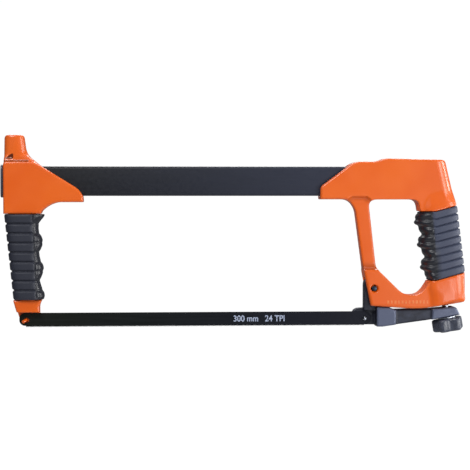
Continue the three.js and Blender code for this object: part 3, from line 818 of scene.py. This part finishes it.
# %% Teeth
teeth, given = new_tree("teeth", {"Count": int, "Pitch": float, "First": float, "Set": float,
                                  "Wave": float})
step_along = add(teeth, "ShaderNodeCombineXYZ", {"X": given["Pitch"]})
first = add(teeth, "ShaderNodeCombineXYZ", {"X": given["First"]})
row = add(teeth, "GeometryNodeMeshLine", {"Count": given["Count"], "Start Location": first,
                                          "Offset": step_along})
where = add(teeth, "ShaderNodeSeparateXYZ", {0: add(teeth, "GeometryNodeInputPosition")}).outputs
waves = add(teeth, "ShaderNodeMath", {0: where["X"], 1: given["Wave"]}, operation="DIVIDE")
angle = add(teeth, "ShaderNodeMath", {0: waves, 1: 2 * math.pi}, operation="MULTIPLY")
swing = add(teeth, "ShaderNodeMath", {0: angle}, operation="SINE")
sideways = add(teeth, "ShaderNodeMath", {0: swing, 1: given["Set"]}, operation="MULTIPLY")
shift = add(teeth, "ShaderNodeCombineXYZ", {"Y": sideways})
waved = add(teeth, "GeometryNodeSetPosition", {"Geometry": row, "Offset": shift})
placed = add(teeth, "GeometryNodeInstanceOnPoints", {"Points": waved, "Instance": given["Geometry"]})
end_tree(teeth, given, placed)

# A tooth seen from the side, as shares of the pitch and millimetres above the tip. Its root reaches
# 0.6 mm into the strip, and it is a little thinner, so that no two faces lie in each other.
TOOTH_SIDE = [(0, 1.9), (1.02, 1.9), (1.02, 0.85), (0.9, 0.8), (0.12, 0), (0, 0.1)]
TEETH, TOOTH_PITCH, TOOTH_THIN = 284, 25.4 / 24 * MM, 0.96
side_y, corner_count = (high.y - low.y) / 2 * TOOTH_THIN, len(TOOTH_SIDE)
tooth_mesh = bpy.data.meshes.new("tooth")
tooth_mesh.from_pydata(
    [(share * TOOTH_PITCH, y, low.z + height * MM) for y in (-side_y, side_y)
     for share, height in TOOTH_SIDE],
    [], [tuple(range(corner_count)), tuple(range(2 * corner_count - 1, corner_count - 1, -1))]
    + [((i + 1) % corner_count, i, i + corner_count, (i + 1) % corner_count + corner_count)
       for i in range(corner_count)])
tooth_row = mesh_object("tooth_row", tooth_mesh, blued)
run_tree(tooth_row, teeth, Count=TEETH, Pitch=TOOTH_PITCH, First=PIN["front"].x - 0.4 * MM,
         Set=0.2 * MM, Wave=8 * MM, Material=blued)

work = bmesh.new()
work.from_mesh(strip_mesh)
work.from_mesh(tooth_row.data)
bpy.data.objects.remove(tooth_row)
bmesh.ops.recalc_face_normals(work, faces=work.faces)
work.to_mesh(strip_mesh)
work.free()
blade = smooth(mesh_object("blade_strip", strip_mesh, blued), 25)
hand_over(blade, "saw_blade", "blade_steel", "blade")
print(TEETH, "teeth,", round(TOOTH_PITCH / MM, 3), "mm apart")

# %% [markdown]
# Only the blade's length and its teeth to the inch are marked on it. The marking is a thin film of
# pale ink, set in a plain face and made a mesh.

# %% Size marking
MARKING = {"height": 7.6, "width": 45.5, "film": 0.012, "heavier": 0.12, "x": -159.8, "clear": 0.014,
           "up": 0.1}
words = bpy.data.curves.new("size_marking", "FONT")
words.body = "300 mm   24 TPI"
words.size, words.extrude, words.offset = (MARKING[k] * MM for k in ("height", "film", "heavier"))
words.align_x, words.align_y = "CENTER", "CENTER"
text_object = bpy.data.objects.new("marking_text", words)
bpy.context.scene.collection.objects.link(text_object)
bpy.context.view_layer.update()
marking_mesh = bpy.data.meshes.new_from_object(text_object)
bpy.data.objects.remove(text_object)
set_width = max(v.co.x for v in marking_mesh.vertices) - min(v.co.x for v in marking_mesh.vertices)
marking_mesh.transform(Matrix.Diagonal((MARKING["width"] * MM / set_width, 1, 1, 1)))
marking_mesh.transform(Matrix.Rotation(math.pi / 2, 4, "X"))
marking_mesh.transform(Matrix.Translation((MARKING["x"] * MM, low.y - MARKING["clear"] * MM,
                                           PIN["front"].z + MARKING["up"] * MM)))
marking = mesh_object("size_marking", marking_mesh, ink)
hand_over(marking, "saw_blade", "blade_steel")

# %% [markdown]
# ## Tension gear
# The lever is a small casting, so it gets a skin like the handles, finer because it is smaller.

# %% Lever
lever = cast_skin("tension_lever", "lever_casting", dipped, 0.5, 3)
hand_over(lever, "lever", "lever_coating", "tension_lever")

# %% [markdown]
# The knob is a moulded star with five lobes. It is turned as a plain round shape first, and a tree
# then swings its skin in and out as the angle goes round. The stud is a plain rod with one ridge
# wound round it, which is what an M6 thread is.

# %% The screw's line
SCREW_FOOT = Vector((9.3 * MM, 0, -64.4 * MM))
TILT = math.radians(9.5)
ON_SCREW = Matrix.Translation(SCREW_FOOT) @ Matrix.Rotation(-TILT, 4, "Y")
print("the screw's line leans", round(math.degrees(TILT), 1), "degrees")


def turned(name, profile, steps, material):
    """A closed round shape about Z from (radius, height) points in millimetres."""
    angles = [2 * math.pi * i / steps for i in range(steps)]
    verts = [(radius * math.cos(a) * MM, radius * math.sin(a) * MM, z * MM)
             for radius, z in profile for a in angles]
    faces = band_faces(len(profile), steps, closed=False)
    faces += [tuple(range(steps - 1, -1, -1)), tuple(range(len(verts) - steps, len(verts)))]
    mesh = bpy.data.meshes.new(name)
    mesh.from_pydata(verts, [], faces)
    return mesh_object(name, mesh, material)


# %% Knob
lobes, given = new_tree("lobes", {"Lobes": float, "Height": float, "Radius": float})
where = add(lobes, "ShaderNodeSeparateXYZ", {0: add(lobes, "GeometryNodeInputPosition")}).outputs
angle = add(lobes, "ShaderNodeMath", {0: where["Y"], 1: where["X"]}, operation="ARCTAN2")
round_it = add(lobes, "ShaderNodeMath", {0: angle, 1: given["Lobes"]}, operation="MULTIPLY")
wavy = add(lobes, "ShaderNodeMath", {0: round_it}, operation="SINE")
share = add(lobes, "ShaderNodeMath", {0: given["Height"], 1: given["Radius"]}, operation="DIVIDE")
grown = add(lobes, "ShaderNodeMath", {0: wavy, 1: share, 2: 1.0}, operation="MULTIPLY_ADD")
scale = add(lobes, "ShaderNodeCombineXYZ", {"X": grown, "Y": grown, "Z": 1.0})
here = add(lobes, "GeometryNodeInputPosition")
moved = add(lobes, "ShaderNodeVectorMath", {0: here, 1: scale}, operation="MULTIPLY")
star = add(lobes, "GeometryNodeSetPosition", {"Geometry": given["Geometry"], "Position": moved})
end_tree(lobes, given, star)

KNOB = {"top": -1.8, "bottom": -13.1, "radius": 12.2, "rim": 2.0, "ring_out": 7.4, "ring_in": 6.8,
        "sunk": 0.4, "bore": 3.2, "bore_foot": -11.1, "centre": 0.4}
DISH = [(4.6, -11.9), (5.2, -12.2), (6.0, -12.85), (7.0, -13.1)]  # radius and height, in the underside
quarter = [math.pi / 12 * step for step in range(7)]
inner, rim = KNOB["radius"] - KNOB["rim"], KNOB["rim"]
knob_profile = [(KNOB["centre"], DISH[0][1]), *DISH]
knob_profile += [(inner + rim * math.sin(a), KNOB["bottom"] + rim - rim * math.cos(a)) for a in quarter]
knob_profile += [(inner + rim * math.cos(a), KNOB["top"] - rim + rim * math.sin(a)) for a in quarter]
sunk = KNOB["top"] - KNOB["sunk"]
knob_profile += [(KNOB["ring_out"], KNOB["top"]), (KNOB["ring_in"], sunk), (KNOB["bore"], sunk),
                 (KNOB["bore"], KNOB["bore_foot"]), (KNOB["centre"], KNOB["bore_foot"])]
knob = turned("star_knob", knob_profile, 120, nylon)
run_tree(knob, lobes, Lobes=5.0, Height=2.0 * MM, Radius=KNOB["radius"] * MM, Material=nylon)
knob.data.transform(ON_SCREW)
smooth(knob, 40)
hand_over(knob, "knob", "black_plastic", "tension_knob")

# %% Threaded stud
thread, given = new_tree("thread", {"Turns": float, "Radius": float, "Ridge": float, "Length": float})
path = add(thread, "GeometryNodeCurveSpiral", {
    "Resolution": 24, "Rotations": given["Turns"], "Start Radius": given["Radius"],
    "End Radius": given["Radius"], "Height": given["Length"]})
ridge = add(thread, "GeometryNodeCurvePrimitiveCircle", {"Resolution": 4, "Radius": given["Ridge"]})
wound = add(thread, "GeometryNodeCurveToMesh", {"Curve": path, "Profile Curve": ridge, "Fill Caps": True})
both = add(thread, "GeometryNodeJoinGeometry")
thread.links.new(wound.outputs[0], both.inputs[0])
thread.links.new(given["Geometry"], both.inputs[0])
end_tree(thread, given, both)

STUD = {"low": -10.8, "high": 24.6, "core": 2.55, "chamfer": 0.6, "plain": 0.8, "ridge": 0.32,
        "pitch": 1.0}
tip = STUD["core"] - STUD["chamfer"]
stud_profile = [(tip, STUD["low"]), (STUD["core"], STUD["low"] + STUD["chamfer"]),
                (STUD["core"], STUD["high"] - STUD["chamfer"]), (tip, STUD["high"])]
stud = turned("threaded_stud", stud_profile, 32, zinc)
# The ridge starts at the origin, so the rod is moved to it, and back afterwards.
to_ridge = Matrix.Translation((0, 0, (STUD["low"] + STUD["plain"]) * MM))
stud.data.transform(to_ridge.inverted())
wound_length = STUD["high"] - STUD["low"] - 2 * STUD["plain"]
run_tree(stud, thread, Turns=wound_length / STUD["pitch"], Radius=STUD["core"] * MM,
         Ridge=STUD["ridge"] * MM, Length=wound_length * MM, Material=zinc)
stud.data.transform(ON_SCREW @ to_ridge)
smooth(stud, 30)
hand_over(stud, "knob", "zinc_steel", "tension_screw")

# %% [markdown]
# Four button-head screws on the far side hold the tube in its castings. One is drawn, with its
# six-sided socket, and a tree sets it at four places.

# %% Tube screws
HEAD = {"radius": 3.8, "height": 2.2, "edge": 0.25, "fullness": 0.8, "socket": 1.45, "deep": 1.2,
        "shank": 2.0, "length": 6, "chamfer": 0.6}
SCREW_STEPS, SOCKET_SPREAD = 36, 1.07
shank, chamfer = HEAD["shank"], HEAD["chamfer"]
screw_profile = [(shank - chamfer, -HEAD["length"]), (shank, chamfer - HEAD["length"]), (shank, 0),
                 (HEAD["radius"], 0)]
for angle in (math.pi / 16 * step for step in range(7)):
    rise = HEAD["edge"] + (1 - HEAD["edge"]) * math.sin(angle)
    screw_profile.append((HEAD["radius"] * math.cos(angle) ** HEAD["fullness"], HEAD["height"] * rise))
screw_profile += [(HEAD["socket"], HEAD["height"]), (HEAD["socket"], HEAD["height"] - HEAD["deep"])]
screw = turned("one_screw", screw_profile, SCREW_STEPS, zinc)
# The socket's two rings, the last ones, are carried from a circle to a hexagon.
for index, vertex in enumerate(screw.data.vertices[-2 * SCREW_STEPS:]):
    off_flat = index / SCREW_STEPS * 6 % 1 - 0.5
    vertex.co.xy *= math.cos(math.pi / 6) / math.cos(off_flat * math.pi / 3) * SOCKET_SPREAD
screw.data.transform(Matrix.Rotation(-math.pi / 2, 4, "X"))
smooth(screw, 40)

screws, given = new_tree("screws", {"Screw": bpy.types.Object})
shape = add(screws, "GeometryNodeObjectInfo", {"Object": given["Screw"]}).outputs["Geometry"]
set_in = add(screws, "GeometryNodeInstanceOnPoints", {"Points": given["Geometry"], "Instance": shape})
end_tree(screws, given, set_in)

SCREW_NODES = ["front_tube_screw_1", "front_tube_screw_2", "rear_tube_screw_1", "rear_tube_screw_2"]
head_base = max(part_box(n)[1].y for n in SCREW_NODES) - HEAD["height"] * MM
places = [((lo + hi) / 2) for lo, hi in map(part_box, SCREW_NODES)]
points_mesh = bpy.data.meshes.new("screw_places")
points_mesh.from_pydata([(p.x, head_base, p.z) for p in places], [], [])
tube_screws = mesh_object("tube_screws", points_mesh, zinc)
run_tree(tube_screws, screws, Screw=screw, Material=zinc)
bpy.data.objects.remove(screw)
hand_over(tube_screws, "frame", "zinc_steel", *SCREW_NODES)

# %% [markdown]
# ## Raised bars on the rear casting
# Low on the D handle's near side the casting has a faint raised pattern. It is a plain row of
# small bars here, whose lengths come from a seeded random value. They are a paler orange.

# %% Raised bars
bars, given = new_tree("raised_bars", {"Count": int, "Pitch": float, "Seed": int})
spacing = add(bars, "ShaderNodeCombineXYZ", {"X": given["Pitch"]})
line = add(bars, "GeometryNodeMeshLine", {"Count": given["Count"], "Offset": spacing})
length = add(bars, "FunctionNodeRandomValue", {"Min": 0.55, "Max": 1.0, "Seed": given["Seed"]},
             data_type="FLOAT")
stretch = add(bars, "ShaderNodeCombineXYZ", {"X": length.outputs["Value"], "Y": 1.0, "Z": 1.0})
spread_out = add(bars, "GeometryNodeInstanceOnPoints", {"Points": line, "Instance": given["Geometry"],
                                                        "Scale": stretch})
end_tree(bars, given, spread_out)

BAR = {"half_x": 1.15, "half_z": 1.5, "proud": 0.2, "draft": 0.2, "root": 0.5}
BARS_START = Vector((-45.5, -CAST_HALF, -50.8)) * MM
bar_corners = [(sx * (BAR["half_x"] - draft) * MM, y * MM, sz * (BAR["half_z"] - draft) * MM)
               for y, draft in ((BAR["root"], 0), (-BAR["proud"], BAR["draft"])) for sx, sz in QUARTERS]
bar_mesh = bpy.data.meshes.new("bar")
bar_mesh.from_pydata(bar_corners, [], [(3, 2, 1, 0), (4, 5, 6, 7), (0, 1, 5, 4), (1, 2, 6, 5),
                                       (2, 3, 7, 6), (3, 0, 4, 7)])
raised = mesh_object("raised_bars", bar_mesh, pale_bar_coat)
run_tree(raised, bars, Count=12, Pitch=3.2 * MM, Seed=4, Material=pale_bar_coat)
raised.data.transform(Matrix.Translation(BARS_START))
smooth(raised, 20)
hand_over(raised, "frame", "orange_paint")
